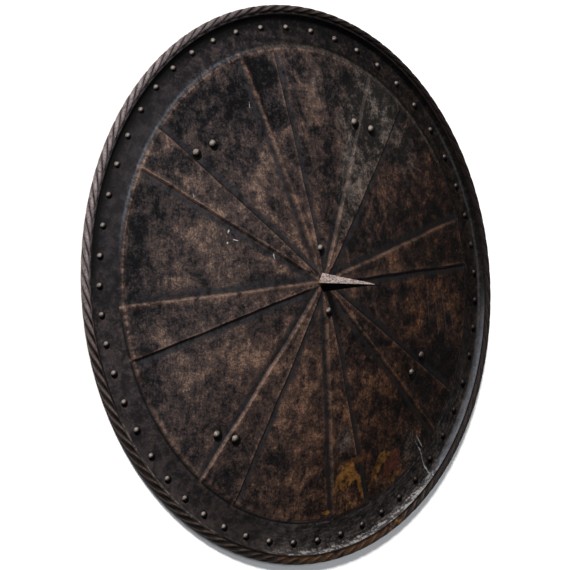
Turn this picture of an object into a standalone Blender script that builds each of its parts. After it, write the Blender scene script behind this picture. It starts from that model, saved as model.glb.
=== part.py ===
"""A rondache: a round iron shield lying on its rim, with its face and its spike up.

Metres and degrees, +Z up. The origin is on the resting plane, under the middle of the shield.
Angles run anticlockwise from +X, seen from the face.
"""

import math

import bmesh
import bpy
from mathutils import Matrix, Vector
from mathutils.bvhtree import BVHTree

# The plate and the fits
OVERALL_DIAMETER = 0.580
WALL = 0.0016
CLEARANCE = 0.0003

# The roped bead along the turned edge
ROPE_DIAMETER = 0.0094
ROPE_LIFT = 0.0002
STRANDS = 104
STRAND_DEPTH = 0.0011
STRAND_RUN = 0.040
ROPE_ARC = (115, 78, 40, 0, -43, -87, -130)

# The upturned wall inside the rope, and the groove between them
RIM_WALL_RUN = 0.0036
RIM_WALL_HEIGHT = 0.0063
GROOVE_DEPTH = 0.0011
GROOVE_ANGLE = 142

# The border: a flat foot, then a hollow curve that rises to the step round the field
FOOT_WIDTH = 0.0050
BORDER_WIDTH = 0.0235
BORDER_RISE = 0.0095
BORDER_CURVE_POWER = 1.4
STEP_WIDTH = 0.0048
STEP_RISE = 0.0022
RIM_COLUMNS = 104

# The field: a low cone, slightly swollen, with a flat seat for the spike
FIELD_RISE = 0.0352
FIELD_CURVE_POWER = 1.15
SEAT_RADIUS = 0.0105

# The embossed ribs: the angles of each rib's two arrises
RIBS = (
    (2.5, 13.5),
    (47.5, 60.0),
    (94.0, 104.4),
    (137.5, 148.5),
    (182.7, 195.3),
    (231.0, 242.3),
    (276.0, 287.0),
    (318.0, 329.0),
)
RIB_HEIGHT = 0.0019
RIB_SIDE = 0.0016
RIB_START = 0.0120
RIB_SIDE_LIMIT = 0.25
GAP_COLUMNS = 4
FIELD_ROWS = (0.0, 0.2, 0.45, 0.72, 1.0)
BORDER_ROWS = (0.6, 0.3, 0.0)

# The small rivets round the border, stepped round by hand: the waves are the drift of their marks
BORDER_RIVETS = 52
BORDER_RIVET_DIAMETER = 0.0064
BORDER_RIVET_HEIGHT = 0.0026
BORDER_RIVET_SIDES = 6
BORDER_RIVET_SINK = 0.0005
BORDER_RIVET_SHOULDER = (0.72, 0.66)
RIVETS_FROM_WALL = 0.0094
FIRST_RIVET_ANGLE = 9.5
DRIFT_DEGREES = ((1, 1.90, 150), (2, 1.21, 229), (3, 0.35, 203), (6, 0.50, 206))
DRIFT_METRES = ((1, 0.0009, 339), (3, 0.0015, 325), (6, 0.0008, 310))

# The larger rivets' domes, as shares of a head's radius and height, from the top down
DOME_SECTIONS = ((0.0, 1.0), (0.60, 0.82), (0.94, 0.36), (1.0, 0.0))

# The strap rivets: each one's angle, and its distance in from the field's arris
STRAP_RIVETS = (
    (128.4, 0.0552),
    (135.0, 0.0465),
    (62.6, 0.0588),
    (55.4, 0.0543),
    (227.0, 0.0430),
    (233.0, 0.0526),
    (332.2, 0.0636),
    (324.2, 0.0709),
)
STRAP_HEAD_DIAMETER = 0.0090
STRAP_HEAD_HEIGHT = 0.0034

# The two small rivets by the spike: angle, and distance out from the spike's axis
CENTRE_RIVETS = ((89.0, 0.0350), (280.0, 0.0300))
CENTRE_HEAD_DIAMETER = 0.0074
CENTRE_HEAD_HEIGHT = 0.0028

# The shanks, and their ends that are hammered flat behind the plate
SHANK_DIAMETER = 0.0044
TAIL_DIAMETER = 0.0070
TAIL_HEIGHT = 0.0014
RIVET_SIDES = 8

# How a rivet's seat is found: rays from well off the plate, on rings of these shares of its radius
PROBE_REACH = 0.020
PROBE_RINGS = (0.0, 0.5, 1.0)
SLOPE_STEP = 0.0005

# The spike: a diamond in section, wider across than along, leaning a little towards -Y
SPIKE_LENGTH = 0.0790
SPIKE_WIDTH = 0.0197
SPIKE_THICKNESS = 0.0130
SPIKE_LEAN_ANGLE = 4.2
SPIKE_TIP_BEND = 0.0012
SPIKE_BEND_START = 0.80
SPIKE_SECTIONS = ((0.0, 1.0), (0.80, 0.22), (0.93, 0.11), (1.0, 0.04))
TANG_DIAMETER = 0.0060
TANG_TAIL_DIAMETER = 0.0110
TANG_TAIL_HEIGHT = 0.0016

# Edges that turn by more than this stay sharp
SHARP_ANGLE = 30

# Radii and heights that follow from the sizes above
ROPE_RADIUS = ROPE_DIAMETER / 2
ROPE_CIRCLE = OVERALL_DIAMETER / 2 - ROPE_RADIUS
ROPE_HEIGHT = ROPE_RADIUS + ROPE_LIFT
WALL_TOP_RADIUS = ROPE_CIRCLE - ROPE_RADIUS
WALL_BASE_RADIUS = WALL_TOP_RADIUS - RIM_WALL_RUN
FOOT_RADIUS = WALL_BASE_RADIUS - FOOT_WIDTH
STEP_RADIUS = FOOT_RADIUS - BORDER_WIDTH
FIELD_RADIUS = STEP_RADIUS - STEP_WIDTH
STEP_HEIGHT = WALL + BORDER_RISE
ARRIS_HEIGHT = STEP_HEIGHT + STEP_RISE
APEX_HEIGHT = ARRIS_HEIGHT + FIELD_RISE


def material(name, colour, metallic, roughness):
    made = bpy.data.materials.new(name)
    made.use_nodes = True
    shader = made.node_tree.nodes["Principled BSDF"]
    shader.inputs["Base Color"].default_value = (*colour, 1.0)
    shader.inputs["Metallic"].default_value = metallic
    shader.inputs["Roughness"].default_value = roughness
    return made


def new_object(name, bm, finish):
    """Turn a finished mesh into an object of its own, with its faces pointing out."""
    bmesh.ops.recalc_face_normals(bm, faces=bm.faces)
    mesh = bpy.data.meshes.new(name)
    bm.to_mesh(mesh)
    bm.free()
    mesh.shade_smooth()
    mesh.set_sharp_from_angle(angle=math.radians(SHARP_ANGLE))
    mesh.materials.append(finish)
    made = bpy.data.objects.new(name, mesh)
    bpy.context.collection.objects.link(made)
    return made


def as_guide(made):
    """Keep an object that only shapes the plate out of the model itself."""
    made.hide_render = True
    made.display_type = "WIRE"
    return made


def ring(bm, angles, radii, heights):
    """Vertices at the given angles in radians. Radii and heights are one value, or one for each."""
    radii = radii if isinstance(radii, list) else [radii] * len(angles)
    heights = heights if isinstance(heights, list) else [heights] * len(angles)
    return [
        bm.verts.new((r * math.cos(a), r * math.sin(a), h)) for a, r, h in zip(angles, radii, heights)
    ]


def band(bm, one, other):
    """Four-sided faces between two rings with as many vertices."""
    for i in range(len(one)):
        k = (i + 1) % len(one)
        bm.faces.new((one[i], one[k], other[k], other[i]))


def turn_of(vert):
    return math.atan2(vert.co.y, vert.co.x)


def unrolled(verts, base):
    """Angles of a ring's vertices that keep growing, the first one nearest to base, closed at the end."""
    first = (turn_of(verts[0]) - base + math.pi) % math.tau - math.pi
    angles = [first + (turn_of(v) - turn_of(verts[0])) % math.tau for v in verts]
    return angles + [first + math.tau]


def stitch(bm, one, other):
    """Triangles between two rings whose vertices don't match in number, both running the same way."""
    base = turn_of(one[0])
    nearest = min(
        range(len(other)),
        key=lambda j: abs((turn_of(other[j]) - base + math.pi) % math.tau - math.pi),
    )
    other = other[nearest:] + other[:nearest]
    turns_one = unrolled(one, base)
    turns_other = unrolled(other, base)
    one = one + one[:1]
    other = other + other[:1]
    i = j = 0
    while i < len(one) - 1 or j < len(other) - 1:
        step_one = turns_one[i + 1] if i < len(one) - 1 else math.inf
        step_other = turns_other[j + 1] if j < len(other) - 1 else math.inf
        if step_one <= step_other:
            bm.faces.new((one[i], one[i + 1], other[j]))
            i += 1
        else:
            bm.faces.new((one[i], other[j + 1], other[j]))
            j += 1


def even_angles(count):
    return [math.tau * i / count for i in range(count)]


def field_height(r):
    """Top of the smooth field, without its ribs."""
    share = max(0.0, r - SEAT_RADIUS) / (FIELD_RADIUS - SEAT_RADIUS)
    return APEX_HEIGHT - FIELD_RISE * share**FIELD_CURVE_POWER


def border_height(r):
    """Top of the border, from the flat foot up to the foot of the step."""
    share = max(0.0, FOOT_RADIUS - r) / BORDER_WIDTH
    return WALL + BORDER_RISE * share**BORDER_CURVE_POWER


def rib_columns(r, raised):
    """Angles of the field's columns at a radius, and how high each stands above the smooth field."""
    angles = []
    heights = []
    for i, (start, end) in enumerate(RIBS):
        following = RIBS[(i + 1) % len(RIBS)][0] + (360 if i + 1 == len(RIBS) else 0)
        start, end, following = (math.radians(a) for a in (start, end, following))
        side = min(RIB_SIDE / r, RIB_SIDE_LIMIT * (following - end))
        angles += [start - side, start, end, end + side]
        heights += [0.0, raised, raised, 0.0]
        low = end + side
        high = following - side
        for k in range(1, GAP_COLUMNS + 1):
            angles.append(low + (high - low) * k / (GAP_COLUMNS + 1))
            heights.append(0.0)
    return angles, heights


def field_skin(bm, drop):
    """The field's top, or its underside a wall lower: from the tang's hole to the foot of the step."""
    hole = ring(bm, even_angles(RIVET_SIDES), TANG_DIAMETER / 2 + CLEARANCE, APEX_HEIGHT - drop)
    angles, _ = rib_columns(SEAT_RADIUS, 0.0)
    last = ring(bm, angles, SEAT_RADIUS, APEX_HEIGHT - drop)
    stitch(bm, hole, last)
    inner = SEAT_RADIUS + RIB_START
    for share in FIELD_ROWS:
        r = inner + (FIELD_RADIUS - inner) * share
        angles, raised = rib_columns(r, RIB_HEIGHT)
        heights = [field_height(r) + h - drop for h in raised]
        row = ring(bm, angles, r, heights)
        band(bm, last, row)
        last = row
    angles, _ = rib_columns(STEP_RADIUS, 0.0)
    foot = ring(bm, angles, STEP_RADIUS, STEP_HEIGHT - drop)
    band(bm, last, foot)
    return hole, foot


def border_skin(bm, foot_of_step, drop):
    """The border's top, or its underside a wall lower: from the foot of the step to the flat foot."""
    last = foot_of_step
    for i, share in enumerate(BORDER_ROWS):
        r = FOOT_RADIUS - BORDER_WIDTH * share
        row = ring(bm, even_angles(RIM_COLUMNS), r, border_height(r) - drop)
        if i == 0:
            stitch(bm, last, row)
        else:
            band(bm, last, row)
        last = row
    return last


def rope_rings(bm):
    """The cabled bead: crests and valleys that run round it as strands, from its inner side to below."""
    rings = []
    for arc in ROPE_ARC:
        lean = STRAND_RUN / ROPE_CIRCLE * arc / 360
        angles = [a + lean for a in even_angles(2 * STRANDS)]
        reach = [ROPE_RADIUS - STRAND_DEPTH * (i % 2) for i in range(2 * STRANDS)]
        radii = [ROPE_CIRCLE + rho * math.cos(math.radians(arc)) for rho in reach]
        heights = [ROPE_HEIGHT + rho * math.sin(math.radians(arc)) for rho in reach]
        rings.append(ring(bm, angles, radii, heights))
        if len(rings) > 1:
            band(bm, rings[-2], rings[-1])
    return rings[0], rings[-1]


def plate_mesh():
    """The whole sheet as one closed skin: field, step, border, turned wall, rope, and back again."""
    bm = bmesh.new()
    hole_above, step_above = field_skin(bm, 0.0)
    hole_below, step_below = field_skin(bm, WALL)
    band(bm, hole_above, hole_below)
    foot_above = border_skin(bm, step_above, 0.0)
    foot_below = border_skin(bm, step_below, WALL)
    even = even_angles(RIM_COLUMNS)
    wall_base = ring(bm, even, WALL_BASE_RADIUS, WALL)
    wall_top = ring(bm, even, WALL_TOP_RADIUS, WALL + RIM_WALL_HEIGHT)
    reach = ROPE_RADIUS - GROOVE_DEPTH
    groove_radius = ROPE_CIRCLE + reach * math.cos(math.radians(GROOVE_ANGLE))
    groove_height = ROPE_HEIGHT + reach * math.sin(math.radians(GROOVE_ANGLE))
    groove = ring(bm, even, groove_radius, groove_height)
    rope_start, rope_end = rope_rings(bm)
    rest = ring(bm, even, WALL_TOP_RADIUS, 0.0)
    band(bm, foot_above, wall_base)
    band(bm, wall_base, wall_top)
    band(bm, wall_top, groove)
    stitch(bm, groove, rope_start)
    stitch(bm, rest, rope_end)
    band(bm, foot_below, rest)
    bmesh.ops.recalc_face_normals(bm, faces=bm.faces)
    return bm


def frame_at(point, axis):
    """A matrix that stands a piece at a point, with its own +Z along the axis."""
    return Matrix.Translation(point) @ axis.to_track_quat("Z", "Y").to_matrix().to_4x4()


def normal_at(height, r, angle):
    """The outward normal of a turned surface, at a radius and an angle in radians."""
    slope = (height(r + SLOPE_STEP) - height(r - SLOPE_STEP)) / (2 * SLOPE_STEP)
    return Vector((-slope * math.cos(angle), -slope * math.sin(angle), 1.0)).normalized()


def drift(waves, angle):
    return sum(size * math.cos(times * angle - math.radians(phase)) for times, size, phase in waves)


def border_rivet_heads(finish):
    """All the border's small domes, sunk into the plate that they are joined to."""
    bm = bmesh.new()
    half = BORDER_RIVET_DIAMETER / 2
    circle = WALL_BASE_RADIUS - RIVETS_FROM_WALL
    wide, high = BORDER_RIVET_SHOULDER
    sides = even_angles(BORDER_RIVET_SIDES)
    for angle in even_angles(BORDER_RIVETS):
        turned = angle + math.radians(FIRST_RIVET_ANGLE + drift(DRIFT_DEGREES, angle))
        r = circle + drift(DRIFT_METRES, angle)
        start = len(bm.verts)
        base = ring(bm, sides, half, -BORDER_RIVET_SINK)
        shoulder = ring(bm, sides, wide * half, high * BORDER_RIVET_HEIGHT)
        top = bm.verts.new((0.0, 0.0, BORDER_RIVET_HEIGHT))
        bm.faces.new(base)
        band(bm, base, shoulder)
        for i in range(BORDER_RIVET_SIDES):
            bm.faces.new((shoulder[i], shoulder[(i + 1) % BORDER_RIVET_SIDES], top))
        bm.verts.ensure_lookup_table()
        place = Vector((r * math.cos(turned), r * math.sin(turned), border_height(r)))
        at = frame_at(place, normal_at(border_height, r, turned))
        bmesh.ops.transform(bm, matrix=at, verts=bm.verts[start:])
    return as_guide(new_object("border_rivet_heads", bm, finish))


def seat_heights(tree, place, axis, radius):
    """How far the plate's face reaches up, and its back reaches down, under a rivet's head and tail."""
    across = axis.orthogonal().normalized()
    other = axis.cross(across)
    faces = []
    backs = []
    for reach in (share * radius for share in PROBE_RINGS):
        for a in even_angles(2 * RIVET_SIDES):
            point = place + reach * (math.cos(a) * across + math.sin(a) * other)
            above, *_ = tree.ray_cast(point + PROBE_REACH * axis, -axis)
            below, *_ = tree.ray_cast(point - PROBE_REACH * axis, axis)
            faces.append((above - place).dot(axis))
            backs.append((below - place).dot(axis))
    return max(faces), min(backs)


def revolved(name, sections, finish):
    """A rivet turned from (radius, height) sections, closed to a point above and flat below."""
    bm = bmesh.new()
    sides = even_angles(RIVET_SIDES)
    (_, top_height), *rest = sections
    top = bm.verts.new((0.0, 0.0, top_height))
    last = None
    for radius, height in rest:
        row = ring(bm, sides, radius, height)
        if last is None:
            for i in range(RIVET_SIDES):
                bm.faces.new((top, row[i], row[(i + 1) % RIVET_SIDES]))
        else:
            band(bm, last, row)
        last = row
    bm.faces.new(last)
    return new_object(name, bm, finish)


def field_rivet(name, tree, angle, r, head, height, finish):
    """A domed rivet through the field, seated on the plate's face and hammered flat behind it."""
    turned = math.radians(angle)
    axis = normal_at(field_height, r, turned)
    place = Vector((r * math.cos(turned), r * math.sin(turned), field_height(r)))
    reach = max(head, TAIL_DIAMETER) / 2
    face, back = seat_heights(tree, place, axis, reach)
    grip = face - back + 2 * CLEARANCE
    sections = [(wide * head / 2, high * height) for wide, high in DOME_SECTIONS]
    sections += [
        (SHANK_DIAMETER / 2, 0.0),
        (SHANK_DIAMETER / 2, -grip),
        (TAIL_DIAMETER / 2, -grip),
        (TAIL_DIAMETER / 2, -grip - TAIL_HEIGHT),
    ]
    made = revolved(name, sections, finish)
    made.matrix_world = frame_at(place + (face + CLEARANCE) * axis, axis)
    return made


def rivet_holes(rivets, finish):
    """One guide that cuts a clearance hole through the plate for each rivet's shank."""
    bm = bmesh.new()
    for rivet in rivets:
        start = len(bm.verts)
        radius = SHANK_DIAMETER / 2 + CLEARANCE
        sides = even_angles(RIVET_SIDES)
        above = ring(bm, sides, radius, PROBE_REACH)
        below = ring(bm, sides, radius, -PROBE_REACH)
        band(bm, above, below)
        bm.faces.new(above)
        bm.faces.new(below)
        bm.verts.ensure_lookup_table()
        bmesh.ops.transform(bm, matrix=rivet.matrix_world, verts=bm.verts[start:])
    return as_guide(new_object("rivet_holes", bm, finish))


def spike_ring(bm, share, width):
    """The spike's diamond section at a share of its length, set over by the lean and the bent tip."""
    along = SPIKE_LENGTH * share
    bent = max(0.0, share - SPIKE_BEND_START) / (1 - SPIKE_BEND_START)
    aside = -math.tan(math.radians(SPIKE_LEAN_ANGLE)) * along - SPIKE_TIP_BEND * bent
    half_x = SPIKE_THICKNESS / 2 * width
    half_y = SPIKE_WIDTH / 2 * width
    corners = ((half_x, 0), (0, half_y), (-half_x, 0), (0, -half_y))
    height = APEX_HEIGHT + CLEARANCE + along
    return [bm.verts.new((x, y + aside, height)) for x, y in corners]


def spike(finish):
    """The forged spike, with a round tang through the plate that is hammered out flat behind it."""
    bm = bmesh.new()
    rows = [spike_ring(bm, share, width) for share, width in SPIKE_SECTIONS]
    for lower, upper in zip(rows, rows[1:]):
        band(bm, lower, upper)
    bm.faces.new(rows[-1])
    sides = even_angles(RIVET_SIDES)
    back = APEX_HEIGHT - WALL - CLEARANCE
    tang_top = ring(bm, sides, TANG_DIAMETER / 2, APEX_HEIGHT + CLEARANCE)
    tang_end = ring(bm, sides, TANG_DIAMETER / 2, back)
    tail_top = ring(bm, sides, TANG_TAIL_DIAMETER / 2, back)
    tail_end = ring(bm, sides, TANG_TAIL_DIAMETER / 2, back - TANG_TAIL_HEIGHT)
    stitch(bm, rows[0], tang_top)
    band(bm, tang_top, tang_end)
    band(bm, tang_end, tail_top)
    band(bm, tail_top, tail_end)
    bm.faces.new(tail_end)
    return new_object("spike", bm, finish)


def join(target, guide, operation):
    boolean = target.modifiers.new(guide.name, "BOOLEAN")
    boolean.operation = operation
    boolean.solver = "EXACT"
    boolean.object = guide


for leftover in list(bpy.data.objects):
    bpy.data.objects.remove(leftover, do_unlink=True)

blackened_iron = material("blackened_iron", (0.045, 0.036, 0.032), 0.55, 0.52)
bare_steel = material("bare_steel", (0.33, 0.31, 0.30), 0.9, 0.42)
rivet_steel = material("rivet_steel", (0.25, 0.24, 0.23), 0.85, 0.45)

plate_bmesh = plate_mesh()
plate_tree = BVHTree.FromBMesh(plate_bmesh)
plate = new_object("shield_plate", plate_bmesh, blackened_iron)

field_rivets = [
    field_rivet(
        f"strap_rivet_{i}", plate_tree, angle, FIELD_RADIUS - inset,
        STRAP_HEAD_DIAMETER, STRAP_HEAD_HEIGHT, rivet_steel,
    )
    for i, (angle, inset) in enumerate(STRAP_RIVETS, start=1)
]
field_rivets += [
    field_rivet(
        f"centre_rivet_{i}", plate_tree, angle, r,
        CENTRE_HEAD_DIAMETER, CENTRE_HEAD_HEIGHT, rivet_steel,
    )
    for i, (angle, r) in enumerate(CENTRE_RIVETS, start=1)
]
join(plate, border_rivet_heads(blackened_iron), "UNION")
join(plate, rivet_holes(field_rivets, blackened_iron), "DIFFERENCE")
spike(bare_steel)
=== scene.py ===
"""The looks of a rondache: a round iron shield with embossed ribs, a roped rim and a central spike.

The shield lies on its rim with its face up. Metres, +Z up, angles anticlockwise from +X.
"""

import math

import bpy
import numpy as np
from mathutils import Matrix, Vector, noise


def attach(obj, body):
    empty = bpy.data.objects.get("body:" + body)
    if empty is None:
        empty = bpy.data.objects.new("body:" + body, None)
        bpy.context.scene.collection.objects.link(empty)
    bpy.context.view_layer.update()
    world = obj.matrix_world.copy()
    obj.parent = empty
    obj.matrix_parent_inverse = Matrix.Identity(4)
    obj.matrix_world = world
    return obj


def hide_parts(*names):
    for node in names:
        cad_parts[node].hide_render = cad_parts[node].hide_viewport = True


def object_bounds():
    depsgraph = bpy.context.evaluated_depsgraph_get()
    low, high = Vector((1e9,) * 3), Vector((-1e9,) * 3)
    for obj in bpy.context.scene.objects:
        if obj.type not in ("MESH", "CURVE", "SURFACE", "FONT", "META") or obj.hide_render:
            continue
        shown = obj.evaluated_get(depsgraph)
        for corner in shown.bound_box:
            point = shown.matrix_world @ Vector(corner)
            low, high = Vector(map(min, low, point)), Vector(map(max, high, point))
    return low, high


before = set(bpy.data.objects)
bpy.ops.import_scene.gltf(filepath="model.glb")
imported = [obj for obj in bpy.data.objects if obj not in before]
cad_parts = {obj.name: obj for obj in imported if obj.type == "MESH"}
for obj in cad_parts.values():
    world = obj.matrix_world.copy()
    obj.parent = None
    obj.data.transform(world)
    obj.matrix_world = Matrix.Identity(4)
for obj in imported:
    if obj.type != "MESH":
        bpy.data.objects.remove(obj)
cad_low, cad_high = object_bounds()

# The camera: it looks down on the lying shield from where the photograph was taken. Its place and lens
# were worked out from the outline of the rim, the step and the circle of small rivets.
SHIELD_RADIUS = (cad_high.x - cad_low.x) / 2
BEAD_HEIGHT = 0.0049
IMAGE_PIXELS = 570
FOCAL_PIXELS = 5000
SENSOR_WIDTH = 36
CAMERA_TILT = math.radians(43.53)
CAMERA_ROLL = math.radians(3.89)
CAMERA_DISTANCE = 17.84 * SHIELD_RADIUS
CAMERA_RIGHT = 0.0304 * SHIELD_RADIUS
CAMERA_UP = 0.0025 * SHIELD_RADIUS

bpy.ops.object.camera_add()
camera = bpy.context.object
camera.name = "photo_camera"
camera.data.sensor_width = SENSOR_WIDTH
camera.data.lens = SENSOR_WIDTH * FOCAL_PIXELS / IMAGE_PIXELS
camera_turn = Matrix.Rotation(-CAMERA_TILT, 3, "Y") @ Matrix.Rotation(-CAMERA_ROLL, 3, "Z")
camera_place = camera_turn @ Vector((-CAMERA_RIGHT, -CAMERA_UP, CAMERA_DISTANCE))
camera_place.z += BEAD_HEIGHT
camera.matrix_world = Matrix.Translation(camera_place) @ camera_turn.to_4x4()
bpy.context.scene.camera = camera

# The studio: a plain pale floor under the shield, one soft lamp beyond it to the upper left, a wide weak
# one overhead, and a little light from all round. The first lamp draws the shadows of ribs and rivets.
FLOOR_SIZE = 14.0
FLOOR_DROP = 0.0003
FLOOR_COLOUR = (0.93, 0.93, 0.93, 1)
FLOOR_ROUGHNESS = 0.9
LAMP_TOWARDS = Vector((-0.42, 0.68, 0.60))
LAMP_DISTANCE = 9.0
LAMP_SIZE = 1.6
LAMP_WATTS = 1400
LAMP_COLOUR = (1.0, 0.965, 0.93)
SKY_COLOUR = (0.92, 0.95, 1.0)
SKY_STRENGTH = 0.08
OVERHEAD_HEIGHT = 6.0
OVERHEAD_SIZE = 4.0
OVERHEAD_WATTS = 105

bpy.ops.mesh.primitive_plane_add(size=FLOOR_SIZE, location=(0, 0, -FLOOR_DROP))
floor = bpy.context.object
floor.name = "floor"
pale = bpy.data.materials.new("pale_floor")
pale.use_nodes = True
pale.node_tree.nodes["Principled BSDF"].inputs["Base Color"].default_value = FLOOR_COLOUR
pale.node_tree.nodes["Principled BSDF"].inputs["Roughness"].default_value = FLOOR_ROUGHNESS
floor.data.materials.append(pale)

bpy.ops.object.light_add(type="AREA")
lamp = bpy.context.object
lamp.name = "studio_lamp"
lamp.data.shape = "DISK"
lamp.data.size = LAMP_SIZE
lamp.data.energy = LAMP_WATTS
lamp.data.color = LAMP_COLOUR
lamp.location = LAMP_TOWARDS.normalized() * LAMP_DISTANCE
lamp.rotation_euler = LAMP_TOWARDS.to_track_quat("Z", "Y").to_euler()

bpy.ops.object.light_add(type="AREA", location=(0, 0, OVERHEAD_HEIGHT))
overhead = bpy.context.object
overhead.name = "overhead_lamp"
overhead.data.shape = "DISK"
overhead.data.size = OVERHEAD_SIZE
overhead.data.energy = OVERHEAD_WATTS
overhead.data.color = SKY_COLOUR

sky = bpy.data.worlds.new("studio_sky")
sky.use_nodes = True
sky.node_tree.nodes["Background"].inputs["Color"].default_value = (*SKY_COLOUR, 1)
sky.node_tree.nodes["Background"].inputs["Strength"].default_value = SKY_STRENGTH
bpy.context.scene.world = sky
bpy.context.scene.view_settings.view_transform = "Standard"

# The plate: one hammered iron sheet. Its low cone, its step, its hollow border and its upturned edge
# were raised from one disc. Here its section is drawn from the tang's hole out to the rim and back.
WALL = 0.0016
TANG_HOLE = 0.0033
SEAT_RADIUS = 0.0105
FIELD_RADIUS = 0.2437
STEP_RADIUS = 0.2485
FOOT_RADIUS = 0.2720
WALL_BASE_RADIUS = 0.2770
WALL_TOP_RADIUS = 0.2806
WALL_TOP_HEIGHT = 0.0079
STEP_HEIGHT = 0.0111
ARRIS_HEIGHT = 0.0133
APEX_HEIGHT = 0.0485
FIELD_CURVE_POWER = 1.15
BORDER_CURVE_POWER = 1.4
PLATE_COLUMNS = 416
FIELD_ROWS = 62
BORDER_ROWS = 9
UNDER_ROWS = 26
STEP_SECTION = (
    (0.2431, 0.01352), (0.2435, 0.01343), (FIELD_RADIUS, ARRIS_HEIGHT), (0.2441, 0.01300),
    (0.2452, 0.01245), (0.2465, 0.01180), (0.2475, 0.01128), (0.2481, 0.01108), (STEP_RADIUS, 0.01095),
    (0.2492, 0.01092),
)
MERGE_REACH = 1e-6


def field_height(r):
    """Top of the smooth field, without its ribs."""
    share = np.maximum(0.0, r - SEAT_RADIUS) / (FIELD_RADIUS - SEAT_RADIUS)
    return APEX_HEIGHT - (APEX_HEIGHT - ARRIS_HEIGHT) * share**FIELD_CURVE_POWER


def border_height(r):
    """Top of the border, from the foot of the step down to the flat foot."""
    share = np.clip((FOOT_RADIUS - r) / (FOOT_RADIUS - STEP_RADIUS), 0.0, 1.0)
    return WALL + (STEP_HEIGHT - WALL) * share**BORDER_CURVE_POWER


def face_section():
    """The face from the tang's hole to the top of the upturned wall, as (radius, height) pairs."""
    inner = [TANG_HOLE, 0.0075, SEAT_RADIUS, 0.0125, 0.0150, 0.0180, 0.0210]
    outer = np.linspace(0.0245, 0.2422, FIELD_ROWS)
    section = [(r, float(field_height(r))) for r in [*inner, *outer]]
    section += STEP_SECTION
    section += [(r, float(border_height(r))) for r in np.linspace(0.2515, FOOT_RADIUS, BORDER_ROWS)]
    section += [(0.2745, WALL), (0.2762, WALL + 0.0001), (WALL_BASE_RADIUS, WALL + 0.0006)]
    for share in (0.25, 0.5, 0.75, 0.92):
        section.append((
            WALL_BASE_RADIUS + (WALL_TOP_RADIUS - WALL_BASE_RADIUS) * share,
            WALL + 0.0006 + (WALL_TOP_HEIGHT - WALL - 0.0006) * share,
        ))
    return section


def back_section():
    """The back, a wall lower, from the ring that the shield rests on to the tang's hole."""
    section = [(WALL_TOP_RADIUS, 0.0), (FOOT_RADIUS, 0.0)]
    section += [(r, float(border_height(r)) - WALL) for r in (0.2660, 0.2600, 0.2540, STEP_RADIUS)]
    section += [(FIELD_RADIUS, ARRIS_HEIGHT - WALL)]
    section += [
        (r, float(field_height(r)) - WALL) for r in np.linspace(0.2390, SEAT_RADIUS, UNDER_ROWS)
    ]
    section += [(TANG_HOLE, APEX_HEIGHT - WALL)]
    return section


def only(piece):
    """Select one piece and nothing else."""
    if bpy.context.object and bpy.context.object.mode != "OBJECT":
        bpy.ops.object.mode_set(mode="OBJECT")
    bpy.ops.object.select_all(action="DESELECT")
    piece.select_set(True)
    bpy.context.view_layer.objects.active = piece


def turned(name, section, columns):
    """Draw a section in the plane y = 0 by extruding one vertex, then spin it round the shield's axis."""
    bpy.ops.object.select_all(action="DESELECT")
    bpy.ops.mesh.primitive_plane_add(size=WALL, location=(0, 0, 0))
    made = bpy.context.object
    made.name = name
    bpy.ops.object.mode_set(mode="EDIT")
    bpy.ops.mesh.select_mode(type="VERT")
    bpy.ops.mesh.select_all(action="SELECT")
    bpy.ops.mesh.merge(type="CENTER")
    bpy.ops.transform.translate(value=(section[0][0], 0, section[0][1]))
    for (r, z), (next_r, next_z) in zip(section, section[1:]):
        bpy.ops.mesh.extrude_vertices_move(TRANSFORM_OT_translate={"value": (next_r - r, 0, next_z - z)})
    bpy.ops.mesh.select_all(action="SELECT")
    bpy.ops.mesh.spin(steps=columns, angle=math.tau, center=(0, 0, 0), axis=(0, 0, 1))
    bpy.ops.mesh.select_all(action="SELECT")
    bpy.ops.mesh.remove_doubles(threshold=MERGE_REACH)
    bpy.ops.object.mode_set(mode="OBJECT")
    return made


def places(piece):
    found = np.empty(len(piece.data.vertices) * 3)
    piece.data.vertices.foreach_get("co", found)
    return found.reshape(-1, 3)


def put(piece, found):
    piece.data.vertices.foreach_set("co", found.ravel())
    piece.data.update()


def mark(piece, name, found):
    """Keep a value from 0 to 1 on each vertex, for the material to read."""
    layer = piece.data.attributes.get(name) or piece.data.attributes.new(name, "FLOAT", "POINT")
    layer.data.foreach_set("value", np.clip(found, 0.0, 1.0))


def marks(piece, name):
    found = np.empty(len(piece.data.vertices))
    piece.data.attributes[name].data.foreach_get("value", found)
    return found


def face_out(piece):
    """Turn all the faces of a piece outwards."""
    only(piece)
    bpy.ops.object.mode_set(mode="EDIT")
    bpy.ops.mesh.select_all(action="SELECT")
    bpy.ops.mesh.normals_make_consistent(inside=False)
    bpy.ops.object.mode_set(mode="OBJECT")


plate = turned("shield_plate_face", face_section(), PLATE_COLUMNS)
back = turned("shield_plate_back", back_section(), PLATE_COLUMNS)
mark(plate, "face", np.ones(len(plate.data.vertices)))
only(plate)
back.select_set(True)
bpy.ops.object.join()

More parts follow.
